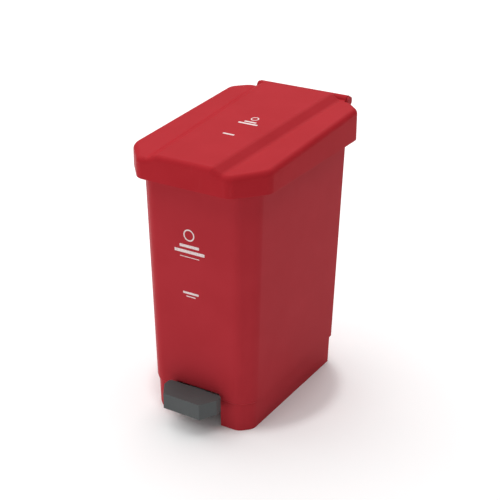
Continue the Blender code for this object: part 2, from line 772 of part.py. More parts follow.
def make_rod_guides():
    hole = ROD_RADIUS + PIN_CLEARANCE
    reach = hole + GUIDE_EDGE
    for name, height in GUIDE_HEIGHTS.items():
        low = height - GUIDE_THICKNESS / 2
        high = height + GUIDE_THICKNESS / 2
        guide = side_plate(f"rod_guide_{name}", [
            (rear_wall(low) + TOUCH_GAP, low), (ROD_Y + hole + COVER_WALL, low),
            (ROD_Y + hole + COVER_WALL, high), (rear_wall(high) + TOUCH_GAP, high),
        ], -ROD_SIDE_OFFSET - reach, -ROD_SIDE_OFFSET + reach)
        cut(guide, cylinder(
            f"guide_hole_{name}",
            (-ROD_SIDE_OFFSET, ROD_Y, low - OVERCUT), (-ROD_SIDE_OFFSET, ROD_Y, high + OVERCUT),
            hole,
        ))
        finish(guide, BLACK_PLASTIC)


def make_rod_cover(casing):
    """A channel screwed to the rear wall over the rod."""
    half = COVER_WIDTH / 2
    inner_back = ROD_Y + EYE_RADIUS + COVER_BACK_GAP
    back = inner_back + COVER_WALL
    plinth_wall = CASING_BASE_REAR - PLINTH_STEP
    foot = PLINTH_HEIGHT + PLINTH_STEP
    inset = TOUCH_GAP + COVER_WALL / 2
    cover = side_plate("rod_cover", [
        (rear_wall(COVER_TOP) + inset, COVER_TOP), (rear_wall(foot) + inset, foot),
        (rear_wall(foot) + inset, COVER_BASE), (back, COVER_BASE), (back, COVER_TOP),
    ], -half, half)
    strip = COVER_WALL + TOUCH_GAP
    flange_top = COVER_TOP - COVER_WALL
    flange = side_plate("cover_flange", [
        (rear_wall(flange_top) + TOUCH_GAP, flange_top),
        (rear_wall(COVER_FLANGE_BASE) + TOUCH_GAP, COVER_FLANGE_BASE),
        (rear_wall(COVER_FLANGE_BASE) + strip, COVER_FLANGE_BASE),
        (rear_wall(flange_top) + strip, flange_top),
    ], -COVER_FLANGE_WIDTH / 2, COVER_FLANGE_WIDTH / 2)
    join(cover, flange)
    channel = half - COVER_WALL
    cut(cover, box(
        "cover_channel",
        (-channel, plinth_wall - OVERCUT, COVER_BASE - OVERCUT),
        (channel, inner_back, COVER_TOP + OVERCUT),
    ))
    outward = Vector((0.0, CASING_HEIGHT, -REAR_DRAFT)).normalized()
    grip = COVER_WALL + 2 * TOUCH_GAP + CASING_WALL
    across = (COVER_WIDTH + COVER_FLANGE_WIDTH) / 4
    edge = 2 * SCREW_HEAD_RADIUS
    number = 0
    for height in (COVER_FLANGE_BASE + edge, COVER_TOP - edge):
        for side in (-1, 1):
            number += 1
            seat = Vector((side * across, rear_wall(height), height))
            seat += outward * (2 * TOUCH_GAP + COVER_WALL)
            hole = screw_hole(f"cover_hole_{number}", seat, outward, grip)
            cut(cover, hole)
            cut(casing, hole)
            screw(f"cover_screw_{number}", seat, outward, grip)
    finish(cover, RED_PLASTIC)


# ----------------------------------------------------------------- pedal
def pad_ring(height, offset):
    corners = cut_rectangle(PAD_WIDTH, PAD_FRONT, PAD_BACK, PAD_CORNER_CUT, PAD_REAR_CUT)
    return [Vector((*point, height)) for point in grown(corners, offset)]


def make_pedal(pedal_line):
    half = ARM_WIDTH / 2
    pad = loft("pedal_pad", [
        pad_ring(PAD_TOP - PAD_WALL, -PAD_WALL),
        pad_ring(PAD_UNDERSIDE, -PAD_WALL),
        pad_ring(PAD_UNDERSIDE, 0.0),
        pad_ring(PAD_TOP, 0.0),
    ])
    cut(pad, box(
        "pad_arm_slot",
        (-half - TOUCH_GAP, PAD_BACK - 2 * PAD_WALL, PAD_UNDERSIDE - OVERCUT),
        (half + TOUCH_GAP, PAD_BACK + OVERCUT, TONGUE_TOP + TONGUE_ROOF_GAP),
    ))

    along = (EYE - ELBOW).normalized()
    upright = Vector((0.0, -along.z, along.y))
    across = upright * ARM_THICKNESS / 2
    neck = EYE - along * EYE_NECK
    under = TONGUE_TOP - ARM_THICKNESS
    beam = [(TONGUE_FRONT, TONGUE_TOP), (TONGUE_FRONT, under), (ELBOW.y, under)]
    beam += [(point.y, point.z) for point in (neck - across, neck + across)]
    beam += [(ELBOW.y, TONGUE_TOP)]
    arm = side_plate("pedal_arm", beam, -half, half)
    slope = math.degrees(math.atan2(along.z, along.y))
    tail_across = upright * ARM_THICKNESS * EYE_NECK_SHARE / 2
    tail_start = neck - along * EYE_NECK / 2
    lean = math.degrees(math.asin(tail_across.length / EYE_RADIUS))
    tail = [(point.y, point.z) for point in (tail_start + tail_across, tail_start - tail_across)]
    tail += arc(EYE, EYE_RADIUS, slope - 180.0 + lean, slope + 180.0 - lean)
    eye_half = EYE_WIDTH / 2
    join(arm, side_plate("arm_tail", tail, -eye_half, eye_half))
    hub_reach = Vector((HUB_WIDTH / 2, 0, 0))
    join(arm, cylinder("arm_hub", PIVOT - hub_reach, PIVOT + hub_reach, HUB_RADIUS))
    cut(arm, cylinder(
        "arm_axle_bore", PIVOT - 2 * hub_reach, PIVOT + 2 * hub_reach, AXLE_RADIUS + PIN_CLEARANCE,
    ))
    cut(arm, cylinder("eye_hole", EYE - hub_reach, EYE + hub_reach, EYE_HOLE_RADIUS))

    grip = ARM_THICKNESS + PAD_SCREW_BITE
    seat_y = (TONGUE_FRONT + PAD_BACK - PAD_WALL) / 2
    for number, side in enumerate((-1, 1), start=1):
        seat = Vector((side * half / 2, seat_y, TONGUE_TOP - ARM_THICKNESS - TOUCH_GAP))
        hole = screw_hole(f"pad_hole_{number}", seat, (0, 0, -1), grip)
        cut(arm, hole)
        cut(pad, hole)
        screw(f"pad_screw_{number}", seat, (0, 0, -1), grip, parent=pedal_line)
    finish(pad, GREY_PLASTIC, pedal_line)
    finish(arm, GREY_PLASTIC, pedal_line)


def make_pedal_bearings(casing):
    """The axle, the two blocks that hold it under the floor, and its clips."""
    start = HUB_WIDTH / 2 + KNUCKLE_GAP
    end = start + BLOCK_WIDTH
    clip_in = end + TOUCH_GAP
    clip_out = clip_in + CLIP_THICKNESS
    axle_end = clip_out + CLIP_THICKNESS
    finish(cylinder(
        "pedal_axle", PIVOT - Vector((axle_end, 0, 0)), PIVOT + Vector((axle_end, 0, 0)),
        AXLE_RADIUS,
    ), STEEL)
    bore = AXLE_RADIUS + PIN_CLEARANCE
    roof = FLOOR_UNDERSIDE - TOUCH_GAP
    grip = BLOCK_FOOT_THICKNESS + 2 * TOUCH_GAP + BLOCK_SCREW_BITE
    number = 0
    for side, hand in ((-1, "left"), (1, "right")):
        low, high = sorted((side * start, side * end))
        half_depth = BLOCK_DEPTH / 2
        foot = BLOCK_FOOT_DEPTH / 2
        under_foot = roof - BLOCK_FOOT_THICKNESS
        outline = arc(PIVOT, half_depth, -180.0, 0.0)
        outline += [
            (PIVOT.y + half_depth, under_foot), (PIVOT.y + foot, under_foot + BLOCK_FOOT_TAPER),
            (PIVOT.y + foot, roof), (PIVOT.y - foot, roof),
            (PIVOT.y - foot, under_foot + BLOCK_FOOT_TAPER), (PIVOT.y - half_depth, under_foot),
        ]
        block = side_plate(f"axle_block_{hand}", outline, low, high)
        cut(block, cylinder(
            f"block_bore_{hand}",
            (low - OVERCUT, PIVOT.y, PIVOT.z), (high + OVERCUT, PIVOT.y, PIVOT.z), bore,
        ))
        for end_of_foot in (-1, 1):
            number += 1
            seat_y = PIVOT.y + end_of_foot * (half_depth + foot) / 2
            seat = Vector(((low + high) / 2, seat_y, roof - BLOCK_FOOT_THICKNESS - TOUCH_GAP))
            hole = screw_hole(f"block_hole_{number}", seat, (0, 0, -1), grip)
            cut(block, hole)
            cut(casing, hole)
            screw(f"block_screw_{number}", seat, (0, 0, -1), grip)
        finish(block, BLACK_PLASTIC)
        clip = cylinder(
            f"axle_clip_{hand}", (side * clip_in, PIVOT.y, PIVOT.z),
            (side * clip_out, PIVOT.y, PIVOT.z), CLIP_RADIUS + AXLE_RADIUS / 2,
            steps=SMALL_ROUND_STEPS,
        )
        cut(clip, cylinder(
            f"axle_clip_hole_{hand}", (0, PIVOT.y, PIVOT.z), (2 * side * clip_out, PIVOT.y, PIVOT.z),
            bore, steps=SMALL_ROUND_STEPS,
        ))
        finish(clip, STEEL)


# ---------------------------------------------------------- inner bucket
def make_bucket(bucket_line, bail_line):
    outside = -CASING_WALL - BUCKET_SIDE_GAP
    inside = outside - BUCKET_WALL
    base = FLOOR_HEIGHT + BUCKET_FLOOR_GAP
    rest = CASING_HEIGHT + TOUCH_GAP
    rim = rest + BUCKET_RIM_THICKNESS

    def ring(height, offset, level=None):
        corners = casing_corners(height, offset)
        return level_ring(corners, casing_radii(offset / 2), level or height)

    bucket = loft("inner_bucket", [
        ring(base, outside),
        ring(CASING_HEIGHT, outside, rest),
        ring(CASING_HEIGHT, -BUCKET_RIM_INSET, rest),
        ring(CASING_HEIGHT, -BUCKET_RIM_INSET, rim),
        ring(CASING_HEIGHT, inside, rim),
        ring(base + BUCKET_WALL, inside),
    ])
    leg_x = CASING_TOP_WIDTH / 2 + inside + BAIL_LEG_OUTSET
    bail_height = rim + BAIL_RADIUS + TOUCH_GAP
    bail_y = bail_line.location.y
    ear_in = leg_x + BAIL_RADIUS + TOUCH_GAP
    ear_out = ear_in + EAR_THICKNESS
    for side in (-1, 1):
        low, high = sorted((side * ear_in, side * ear_out))
        ear = cylinder(
            f"bail_ear_{side}", (low, bail_y, bail_height), (high, bail_y, bail_height), EAR_RADIUS,
        )
        join(ear, box(
            f"ear_foot_{side}",
            (low, bail_y - EAR_RADIUS, rim - BUCKET_RIM_THICKNESS / 2),
            (high, bail_y + EAR_RADIUS, bail_height),
        ))
        floor = box(
            f"ear_floor_{side}",
            (low - EAR_RADIUS, bail_y - 2 * EAR_RADIUS, rest - 2 * EAR_RADIUS),
            (high + EAR_RADIUS, bail_y + 2 * EAR_RADIUS, rest + BUCKET_RIM_THICKNESS / 3),
        )
        cut(ear, floor)
        join(bucket, ear)
    cut(bucket, cylinder(
        "ear_holes", (-2 * ear_out, bail_y, bail_height), (2 * ear_out, bail_y, bail_height),
        BAIL_RADIUS + PIN_CLEARANCE,
    ))
    finish(bucket, BLACK_PLASTIC, bucket_line)

    tip = ear_out - BAIL_EDGE
    cross = CASING_TOP_REAR - BAIL_REAR_INSET
    half_grip = GRIP_LENGTH / 2
    bail = wire("bucket_bail", [
        Vector((-tip, bail_y, bail_height)),
        Vector((-leg_x, bail_y, bail_height)),
        Vector((-leg_x, cross, bail_height)),
        Vector((leg_x, cross, bail_height)),
        Vector((leg_x, bail_y, bail_height)),
        Vector((tip, bail_y, bail_height)),
    ], BAIL_RADIUS, [0, BAIL_END_RADIUS, BAIL_BEND_RADIUS, BAIL_BEND_RADIUS, BAIL_END_RADIUS, 0])
    finish(bail, STEEL, bail_line)
    grip = cylinder(
        "bail_grip", (-half_grip, cross, bail_height), (half_grip, cross, bail_height), GRIP_RADIUS,
    )
    cut(grip, cylinder(
        "grip_bore", (-GRIP_LENGTH, cross, bail_height), (GRIP_LENGTH, cross, bail_height),
        BAIL_RADIUS + PIN_CLEARANCE,
    ))
    finish(grip, BLACK_PLASTIC, bail_line)


# -------------------------------------------------------------- assembly
def assemble():
    hinge_line = axis_empty("lid_hinge_axis", HINGE)
    rod_line = axis_empty("rod_slide_axis", Vector((0.0, ROD_Y, EYE_HEIGHT)))
    pedal_line = axis_empty("pedal_pivot_axis", PIVOT)
    bucket_middle = (CASING_TOP_FRONT + CASING_TOP_REAR) / 2
    bucket_line = axis_empty("bucket_lift_axis", Vector((0.0, bucket_middle, CASING_HEIGHT)))
    rim = CASING_HEIGHT + TOUCH_GAP + BUCKET_RIM_THICKNESS
    bail_height = rim + BAIL_RADIUS + TOUCH_GAP
    bail_line = axis_empty("bail_pivot_axis", Vector((0.0, bucket_middle, bail_height)))

    casing = make_casing()
    make_lid(hinge_line)
    make_hinge(casing)
    make_push_rod(rod_line)
    make_rod_guides()
    make_rod_cover(casing)
    make_pedal(pedal_line)
    make_pedal_bearings(casing)
    make_bucket(bucket_line, bail_line)
    bpy.context.view_layer.update()


assemble()
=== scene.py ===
"""A pedal bin for laboratory waste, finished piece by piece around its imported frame.

Metres, +Z up. The pedal is on the -Y side and the lid's hinge on the +Y side.
"""

import math

import bmesh
import bpy
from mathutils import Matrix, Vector


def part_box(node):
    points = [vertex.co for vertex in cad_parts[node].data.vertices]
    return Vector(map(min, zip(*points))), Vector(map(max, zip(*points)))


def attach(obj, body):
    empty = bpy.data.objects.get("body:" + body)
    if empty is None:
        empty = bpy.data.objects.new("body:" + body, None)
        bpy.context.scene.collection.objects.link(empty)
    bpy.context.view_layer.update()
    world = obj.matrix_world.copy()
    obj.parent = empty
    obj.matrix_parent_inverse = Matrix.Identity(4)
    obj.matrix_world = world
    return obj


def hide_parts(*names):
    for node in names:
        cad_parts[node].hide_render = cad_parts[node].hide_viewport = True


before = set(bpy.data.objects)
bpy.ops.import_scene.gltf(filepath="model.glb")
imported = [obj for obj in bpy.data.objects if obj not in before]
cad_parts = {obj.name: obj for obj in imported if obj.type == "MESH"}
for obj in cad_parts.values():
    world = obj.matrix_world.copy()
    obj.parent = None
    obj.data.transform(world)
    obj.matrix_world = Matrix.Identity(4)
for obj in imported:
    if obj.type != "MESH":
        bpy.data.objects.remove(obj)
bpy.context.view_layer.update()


# ---------------------------------------------------------------- casing
# The casing is one injection moulding in red polypropylene, drafted so that it
# leaves the mould, with a satin skin, cut corners, a stepped plinth and a rim
# flange that the lid's ribs rest on. Its edges are all slightly rounded.
CASING_EDGE = 0.0011
CASING_HEIGHT = 0.396

# Pairs: the size at the floor and the size at the casing's height.
CASING_WIDTH = (0.1746, 0.1960)
CASING_CUT = (0.0184, 0.0250)
CASING_FRONT = (-0.1355, -0.1425)

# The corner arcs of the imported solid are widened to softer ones, ring by ring:
# each ring is a height and how far the wall stands out there. An arc round a
# 45-degree turn runs the arc reach, times its radius, along each face.
CASING_RINGS = ((0.0, -0.0027), (0.0453, -0.0027), (0.0480, 0.0), (0.3920, 0.0))
CUT_RADIUS = 0.0080
SOFT_CUT_RADIUS = 0.0200
ARC_REACH = math.tan(math.radians(22.5))
SAME_PLACE = 0.0003

# Angles in degrees, and the distance under which two points are one.
ROUNDED_ABOVE = 30.0
SMOOTH_BELOW = 32.0
FLAT_BELOW = 0.6
ONE_POINT = 0.00002

RED = (0.475, 0.034, 0.045)
RED_DEEP = (0.455, 0.031, 0.041)
RED_WORN = (0.56, 0.065, 0.075)
FINE_GRAIN = 0.0009
GRAIN_DEPTH = 0.00006
MOULD_WAVE = 0.035
MOULD_WAVE_DEPTH = 0.00012
PIGMENT_CLOUD = 0.06
CLOUD_BAND = (0.3, 0.7)
SCUFF_SIZE = 0.012
SCUFF_STRETCH = (1.0, 1.0, 0.22)
SCUFF_BAND = (0.62, 0.74)
SCUFF_SHARE = 0.18
RUBBED_RADIUS = 0.0012
RUBBED_PATCH = 0.02
RUBBED_BAND = (0.35, 0.65)
EDGE_BAND = (0.02, 0.16)
PLASTIC_IOR = 1.49


class Shade:
    """A number that changes over a surface: arithmetic on it adds Math nodes."""

    def __init__(self, finish, socket):
        self.finish = finish
        self.socket = socket

    def maths(self, operation, first, second=None):
        values = [first] if second is None else [first, second]
        return self.finish.add("ShaderNodeMath", {"operation": operation}, dict(enumerate(values)))

    def __add__(self, other):
        return self.maths("ADD", self, other)

    def __radd__(self, other):
        return self.maths("ADD", other, self)

    def __sub__(self, other):
        return self.maths("SUBTRACT", self, other)

    def __rsub__(self, other):
        return self.maths("SUBTRACT", other, self)

    def __mul__(self, other):
        return self.maths("MULTIPLY", self, other)

    def clamped(self):
        return self.maths("MAXIMUM", self.maths("MINIMUM", self, 1.0), 0.0)


class Finish:
    """A material and its nodes."""

    def __init__(self, name):
        self.material = bpy.data.materials.new(name)
        self.material.use_nodes = True
        self.tree = self.material.node_tree
        self.shader = self.tree.nodes["Principled BSDF"]

    def add(self, kind, settings, values, output=0):
        """A new node: its settings first, then the values or links of its sockets."""
        node = self.tree.nodes.new(kind)
        for key, value in settings.items():
            setattr(node, key, value)
        for key, value in values.items():
            self.feed(node.inputs[key], value)
        return Shade(self, node.outputs[output])

    def feed(self, socket, value):
        if isinstance(value, Shade):
            self.tree.links.new(value.socket, socket)
        elif isinstance(value, tuple) and socket.type == "RGBA":
            socket.default_value = (*value, 1.0)
        else:
            socket.default_value = value

    def set(self, **values):
        for key, value in values.items():
            self.feed(self.shader.inputs[key.replace("_", " ")], value)

    def place(self):
        return self.add("ShaderNodeTexCoord", {}, {}, "Object")

    def stretched(self, place, scale):
        return self.add("ShaderNodeMapping", {}, {"Vector": place, "Scale": scale})

    def noise(self, place, size, detail=2.0, roughness=0.5, distortion=0.0):
        """A cloudy pattern from 0 to 1 whose patches are about this size in metres."""
        return self.add("ShaderNodeTexNoise", {}, {
            "Vector": place, "Scale": 1.0 / size, "Detail": detail,
            "Roughness": roughness, "Distortion": distortion,
        })

    def band(self, value, low, high):
        """0 below low, 1 above high, and a smooth step between them."""
        return self.add("ShaderNodeMapRange", {"interpolation_type": "SMOOTHSTEP"}, {
            "Value": value, "From Min": low, "From Max": high,
        })

    def mixed(self, share, first, second):
        return self.add("ShaderNodeMix", {"data_type": "RGBA"}, {
            "Factor": share, "A": first, "B": second,
        }, "Result")

    def edges(self, radius):
        """1 on edges sharper than the radius, 0 on open surfaces."""
        rounded = self.add("ShaderNodeBevel", {"samples": 4}, {"Radius": radius})
        flat = self.add("ShaderNodeNewGeometry", {}, {}, "Normal")
        facing = self.add("ShaderNodeVectorMath", {"operation": "DOT_PRODUCT"}, {
            0: rounded, 1: flat,
        }, "Value")
        return self.band(1.0 - facing, *EDGE_BAND)

    def bumped(self, height, depth, strength, under=None):
        values = {"Height": height, "Distance": depth, "Strength": strength}
        if under:
            values["Normal"] = under
        return self.add("ShaderNodeBump", {}, values)


def moulded_plastic(name, colour, deep, worn, roughness, wear, gloss):
    """Satin polypropylene: cloudy pigment, fine mould grain, rubbed edges, faint scuffs."""
    made = Finish(name)
    place = made.place()
    cloud = made.noise(place, PIGMENT_CLOUD, detail=3.0)
    speckle = made.noise(place, FINE_GRAIN * 2, detail=1.0)
    drawn = made.stretched(place, SCUFF_STRETCH)
    scuffed = made.band(made.noise(drawn, SCUFF_SIZE, detail=4.0, distortion=0.6), *SCUFF_BAND)
    patches = made.band(made.noise(place, RUBBED_PATCH), *RUBBED_BAND)
    rubbed = made.edges(RUBBED_RADIUS) * patches * wear
    base = made.mixed(made.band(cloud, *CLOUD_BAND), deep, colour)
    base = made.mixed(rubbed.clamped(), base, worn)
    base = made.mixed(scuffed * (wear * SCUFF_SHARE), base, worn)
    grain = made.noise(place, FINE_GRAIN, detail=2.0, roughness=0.6)
    wave = made.noise(place, MOULD_WAVE, detail=1.0)
    skin = made.bumped(wave, MOULD_WAVE_DEPTH, 0.35)
    skin = made.bumped(grain, GRAIN_DEPTH, 0.5, skin)
    made.set(
        Base_Color=base,
        Roughness=roughness + (speckle - 0.5) * 0.08 + scuffed * 0.06 - rubbed * 0.06,
        Normal=skin,
        IOR=PLASTIC_IOR,
        Specular_IOR_Level=gloss,
    )
    return made.material


def between(pair, share):
    return pair[0] + (pair[1] - pair[0]) * share


def into_object_mode():
    if bpy.context.object and bpy.context.object.mode == "EDIT":
        bpy.ops.object.mode_set(mode="OBJECT")


def coat(piece, material):
    piece.data.materials.clear()
    piece.data.materials.append(material)


def modified(piece, kind, **settings):
    """Adds a modifier to the active piece, sets it up and applies it."""
    added = piece.modifiers.new(kind, kind)
    for key, value in settings.items():
        setattr(added, key, value)
    bpy.ops.object.modifier_apply(modifier=added.name)


def copy_of(node, name):
    """A piece in edit mode that starts as a merged copy of one CAD node's mesh."""
    bpy.ops.object.select_all(action="DESELECT")
    piece = bpy.data.objects.new(name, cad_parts[node].data.copy())
    bpy.context.scene.collection.objects.link(piece)
    piece.select_set(True)
    bpy.context.view_layer.objects.active = piece
    bpy.ops.mesh.customdata_custom_splitnormals_clear()
    piece.data.materials.clear()
    bpy.ops.object.mode_set(mode="EDIT")
    bpy.ops.mesh.select_all(action="SELECT")
    bpy.ops.mesh.remove_doubles(threshold=ONE_POINT)
    bpy.ops.mesh.dissolve_limited(angle_limit=math.radians(FLAT_BELOW))
    return piece


def pick_points(test):
    """Selects the points of the piece in edit mode that pass the test."""
    bpy.ops.mesh.select_mode(type="VERT")
    bpy.ops.mesh.select_all(action="DESELECT")
    shape = bmesh.from_edit_mesh(bpy.context.object.data)
    for point in shape.verts:
        point.select_set(test(point.co))
    shape.select_flush_mode()
    bmesh.update_edit_mesh(bpy.context.object.data)


def round_edges(piece, width, angle, segments=3):
    """Rounds every edge of the active piece that turns by more than the angle."""
    modified(
        piece, "BEVEL", width=width, segments=segments, limit_method="ANGLE",
        angle_limit=math.radians(angle), harden_normals=False,
    )


def close_piece(piece, material, body, node):
    """Files the active piece: shading, material, body, and the node it stands for."""
    into_object_mode()
    bpy.ops.object.shade_smooth_by_angle(angle=math.radians(SMOOTH_BELOW))
    modified(piece, "WEIGHTED_NORMAL", keep_sharp=True)
    coat(piece, material)
    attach(piece, body)
    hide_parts(node)


def soften_corner(corner, facing, radius, softer):
    """Widens the arc between two upright faces, at one height, to a softer radius."""
    reach = radius * ARC_REACH + SAME_PLACE
    pick_points(lambda co: (
        abs(co.z - corner.z) < SAME_PLACE
        and (co - corner).to_2d().length < reach
        and all((co - corner).to_2d().dot(way) < SAME_PLACE for way in facing)
    ))
    growth = softer / radius
    bpy.ops.transform.resize(value=(growth, growth, 1.0), center_override=corner)


RED_MOULDING = moulded_plastic(
    "red_casing_plastic", RED, RED_DEEP, RED_WORN, roughness=0.46, wear=0.20, gloss=0.025,
)

casing = copy_of("casing", "casing_shell")
for height, offset in CASING_RINGS:
    share = height / CASING_HEIGHT
    half = between(CASING_WIDTH, share) / 2
    corner_cut = between(CASING_CUT, share)
    front = between(CASING_FRONT, share)
    lean = ARC_REACH * offset
    radii = (CUT_RADIUS + offset, SOFT_CUT_RADIUS + offset)
    for side in (-1, 1):
        cut_way, front_way = Vector((side, -1.0)).normalized(), Vector((0.0, -1.0))
        corner = Vector((side * (half - corner_cut + lean), front - offset, height))
        soften_corner(corner, (cut_way, front_way), *radii)
        corner = Vector((side * (half + offset), front + corner_cut - lean, height))
        soften_corner(corner, (cut_way, Vector((side, 0.0))), *radii)
bpy.ops.object.mode_set(mode="OBJECT")
round_edges(casing, CASING_EDGE, ROUNDED_ABOVE)
close_piece(casing, RED_MOULDING, "casing", "casing")


# ------------------------------------------------------------------- lid
# The lid is a second red moulding, a shade deeper and smoother than the casing
# where hands polish it. Its roof runs into the skirt over a broad soft edge,
# and a raised strip with creased sides runs from front to back.
LID_WALL = 0.0030
LID_BEHIND_HINGE = 0.0140
LID_CORNER = 0.0085
LID_EDGE = 0.0088
LID_SEGMENTS = 6
LID_ROUNDED_ABOVE = 50.0

# How far each cut corner runs, across the lid and then along it.
LID_FRONT_CUT = (0.0390, 0.0450)
LID_REAR_CUT = (0.0260, 0.0220)

# Pairs: the size at the lid's front and the size at its rear.
SHOULDER = (0.4165, 0.4360)
RIDGE_TOP = (0.0458, 0.0589)
RIDGE_FOOT = (0.0616, 0.0742)
RIDGE_RISE = (0.0075, 0.0090)

# A face lies flat, or belongs to the roof, a crease or the skirt, by how far
# its normal points up. A crease gets a share of the roof edge's rounding.
FLAT_TILT = 0.9
ROOF_TILT = 0.8
CREASE_TILT = 0.7
SKIRT_TILT = 0.2
CREASE_ABOVE = 12.0
RIDGE_EDGE_SHARE = 0.40
NEAR = 0.001
UPRIGHT_RISE = 0.02
ROOF_SPARE = 0.01

# The notch that clears the push rod: half its width, its foot and top, and how
# far the cutter passes the wall inside and outside.
ROD_NOTCH_HALF = 0.0131
ROD_NOTCH_HEIGHTS = (0.37, 0.414)
ROD_NOTCH_PAST = (0.0006, 0.002)

SKIRT_EDGE = 0.0007
KNUCKLE_EDGE = 0.0005
KNUCKLE_ROOT = 0.0015
KNUCKLE_FACE = 0.0002
RIB_THICKNESS = 0.0030
RIB_TOP = 0.4150
SIDE_RIB_PLACES = (-0.0732, 0.0654)
SIDE_RIB_INNER = 0.0988
FRONT_RIB_REACH = 0.0219
RIM_HEIGHT = 0.3963
LUG_HALF = 0.003
LUG_TOP = 0.4425
LUG_CENTRE = (0.145071, 0.4120)
LUG_SLOT_RADIUS = 0.0034
LUG_SLOT_RUN = (0.00522, 0.00335)
LUG_EDGE = 0.0050
LUG_ROUNDING = 0.0004
LUG_UNDERSIDE = (0.0, 1.6, -1.0)
LID_RED = (0.465, 0.022, 0.031)
LID_RED_DEEP = (0.445, 0.020, 0.028)

LID_MOULDING = moulded_plastic(
    "red_lid_plastic", LID_RED, LID_RED_DEEP, RED_WORN, roughness=0.42, wear=0.45, gloss=0.025,
)

lid_low, lid_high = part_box("lid")
hinge = (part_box("hinge_pin")[0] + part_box("hinge_pin")[1]) / 2
LID_FRONT = lid_low.y
LID_REAR = hinge.y - LID_BEHIND_HINGE


def let_go():
    """Leaves edit mode with nothing selected."""
    into_object_mode()
    bpy.ops.object.select_all(action="DESELECT")


def block(name, low, high):
    """A new cube between two corners, as the active piece in edit mode."""
    let_go()
    low, high = Vector(low), Vector(high)
    bpy.ops.mesh.primitive_cube_add(size=1.0, location=(low + high) / 2, scale=high - low)
    made = bpy.context.object
    made.name = name
    bpy.ops.object.transform_apply(location=True, rotation=True, scale=True)
    bpy.ops.object.mode_set(mode="EDIT")
    return made


def pick_edges(test):
    """Selects the edges of the piece in edit mode that pass the test."""
    bpy.ops.mesh.select_mode(type="EDGE")
    bpy.ops.mesh.select_all(action="DESELECT")
    shape = bmesh.from_edit_mesh(bpy.context.object.data)
    for edge in shape.edges:
        if len(edge.link_faces) == 2 and test(edge):
            edge.select_set(True)
    bmesh.update_edit_mesh(bpy.context.object.data)


def pick_faces(test):
    """Selects the faces of the piece in edit mode that pass the test."""
    bpy.ops.mesh.select_mode(type="FACE")
    bpy.ops.mesh.select_all(action="DESELECT")
    shape = bmesh.from_edit_mesh(bpy.context.object.data)
    for face in shape.faces:
        face.select_set(test(face))
    bmesh.update_edit_mesh(bpy.context.object.data)


def upright(edge):
    run = edge.verts[0].co - edge.verts[1].co
    return abs(run.z) > UPRIGHT_RISE and run.to_2d().length < NEAR


def on_ridge(co):
    return abs(co.x) < between(RIDGE_TOP, (co.y - LID_FRONT) / (LID_REAR - LID_FRONT)) + NEAR


def at_rear(co):
    return co.y > LID_REAR - NEAR


def rounding_of(edge):
    """How much of the roof edge's rounding an edge of the lid gets, from 0 to 1."""
    if len(edge.link_faces) != 2:
        return 0.0
    highest = max(face.normal.z for face in edge.link_faces)
    lowest = min(face.normal.z for face in edge.link_faces)
    if highest > ROOF_TILT and lowest < SKIRT_TILT:
        return 1.0
    if lowest > CREASE_TILT and edge.calc_face_angle() > math.radians(CREASE_ABOVE):
        return RIDGE_EDGE_SHARE
    return 0.0


def cut_away(piece, cutter):
    """Takes the cutter out of the piece, then throws the cutter away."""
    let_go()
    bpy.context.view_layer.objects.active = piece
    modified(piece, "BOOLEAN", operation="DIFFERENCE", solver="EXACT", object=cutter)
    bpy.data.objects.remove(cutter)


def join_into(piece, *others):
    let_go()
    for other in others:
        other.select_set(True)
    piece.select_set(True)
    bpy.context.view_layer.objects.active = piece
    bpy.ops.object.join()


# The outline is a block whose four corners are cut, and then rounded.
half_width = lid_high.x
lid = block(
    "lid_shell",
    (lid_low.x, LID_FRONT, lid_low.z),
    (half_width, LID_REAR, lid_high.z + ROOF_SPARE),
)
pick_edges(lambda edge: upright(edge) and edge.verts[0].co.y < 0)
bpy.ops.mesh.bevel(offset=LID_FRONT_CUT[0], segments=1, affect="EDGES")
pick_points(lambda co: abs(co.x) > half_width - NEAR and co.y < 0)
bpy.ops.transform.translate(value=(0.0, LID_FRONT_CUT[1] - LID_FRONT_CUT[0], 0.0))
pick_edges(lambda edge: upright(edge) and at_rear(edge.verts[0].co))
bpy.ops.mesh.bevel(offset=LID_REAR_CUT[1], segments=1, affect="EDGES")
for side in (-1, 1):
    pick_points(lambda co: at_rear(co) and co.x * side > 0)
    bpy.ops.transform.translate(value=(side * (LID_REAR_CUT[1] - LID_REAR_CUT[0]), 0.0, 0.0))
pick_edges(upright)
bpy.ops.mesh.bevel(
    offset=LID_CORNER, segments=LID_SEGMENTS, affect="EDGES", clamp_overlap=False,
)

# The roof slopes from the shoulder's rear to its front, and the strip between
# the two pairs of creases is raised.
slope = (SHOULDER[1] - SHOULDER[0]) / (LID_REAR - LID_FRONT)
bpy.ops.mesh.select_all(action="SELECT")
bpy.ops.mesh.bisect(
    plane_co=(0.0, LID_FRONT, SHOULDER[0]), plane_no=(0.0, -slope, 1.0),
    use_fill=True, clear_outer=True,
)
for line in (RIDGE_FOOT, RIDGE_TOP):
    lean = (line[1] - line[0]) / (LID_REAR - LID_FRONT)
    for side in (-1, 1):
        pick_faces(lambda face: face.normal.z > FLAT_TILT)
        bpy.ops.mesh.bisect(
            plane_co=(side * line[0], LID_FRONT, SHOULDER[0]), plane_no=(side, -lean, 0.0),
        )
pick_points(lambda co: co.z > SHOULDER[0] - NEAR and on_ridge(co))
bpy.ops.transform.translate(value=(0.0, 0.0, RIDGE_RISE[0]))
pick_points(lambda co: at_rear(co) and on_ridge(co) and co.z > SHOULDER[1])
bpy.ops.transform.translate(value=(0.0, 0.0, RIDGE_RISE[1] - RIDGE_RISE[0]))
pick_faces(lambda face: face.normal.z < -FLAT_TILT)
bpy.ops.mesh.delete(type="FACE")

